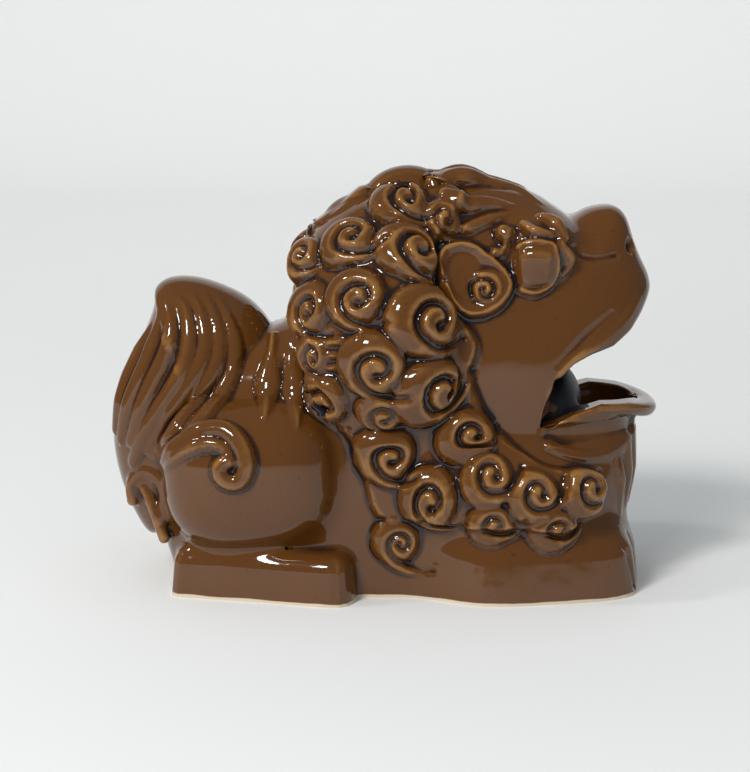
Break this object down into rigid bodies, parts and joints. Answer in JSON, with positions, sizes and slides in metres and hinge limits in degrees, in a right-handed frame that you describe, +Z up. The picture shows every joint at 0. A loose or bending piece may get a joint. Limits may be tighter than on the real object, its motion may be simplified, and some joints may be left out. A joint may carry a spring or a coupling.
{
  "type": "guardian lion figurine",
  "caption": "Hollow glazed ceramic figurine of a crouching open-mouthed guardian lion with a curled mane and an upright flame tail, resting on a flat base.",
  "frame": {"origin": "on the table, at the middle of the figure's length and width", "axes": "+X towards the muzzle, +Z up; the lion's right side faces -Y"},
  "size_m": [0.1513, 0.0824, 0.1118],
  "materials": {
    "amber_glaze": "glossy transparent amber-brown glaze, thin and honey-coloured on ridges, pooled to near black-blue in the grooves",
    "bare_clay": "unglazed cream clay under the foot rim and on the base"
  },
  "bodies": {
    "root": {"floor_slab": "bare_clay", "tail": "amber_glaze", "lower_lip": "amber_glaze", "nose": "amber_glaze", "crown_curls": "amber_glaze", "rump_right": "amber_glaze", "rump_left": "amber_glaze", "chest_right": "amber_glaze", "chest_left": "amber_glaze", "head_right": "amber_glaze", "head_left": "amber_glaze", "hind_foot_right": "amber_glaze", "hind_foot_left": "amber_glaze", "foreleg_right": "amber_glaze", "foreleg_left": "amber_glaze", "haunch_right": "amber_glaze", "haunch_left": "amber_glaze", "beard_right": "amber_glaze", "beard_left": "amber_glaze", "mane_right": "amber_glaze", "mane_left": "amber_glaze", "ear_right": "amber_glaze", "ear_left": "amber_glaze", "eye_right": "amber_glaze", "eye_left": "amber_glaze", "brow_right": "amber_glaze", "brow_left": "amber_glaze", "haunch_scroll_right": "amber_glaze", "haunch_scroll_left": "amber_glaze", "elbow_scroll_right": "amber_glaze", "elbow_scroll_left": "amber_glaze", "mane_curls_right": "amber_glaze", "mane_curls_left": "amber_glaze", "beard_curls_right": "amber_glaze", "beard_curls_left": "amber_glaze", "back_tufts_right": "amber_glaze", "back_tufts_left": "amber_glaze"}
  },
  "joints": []
}
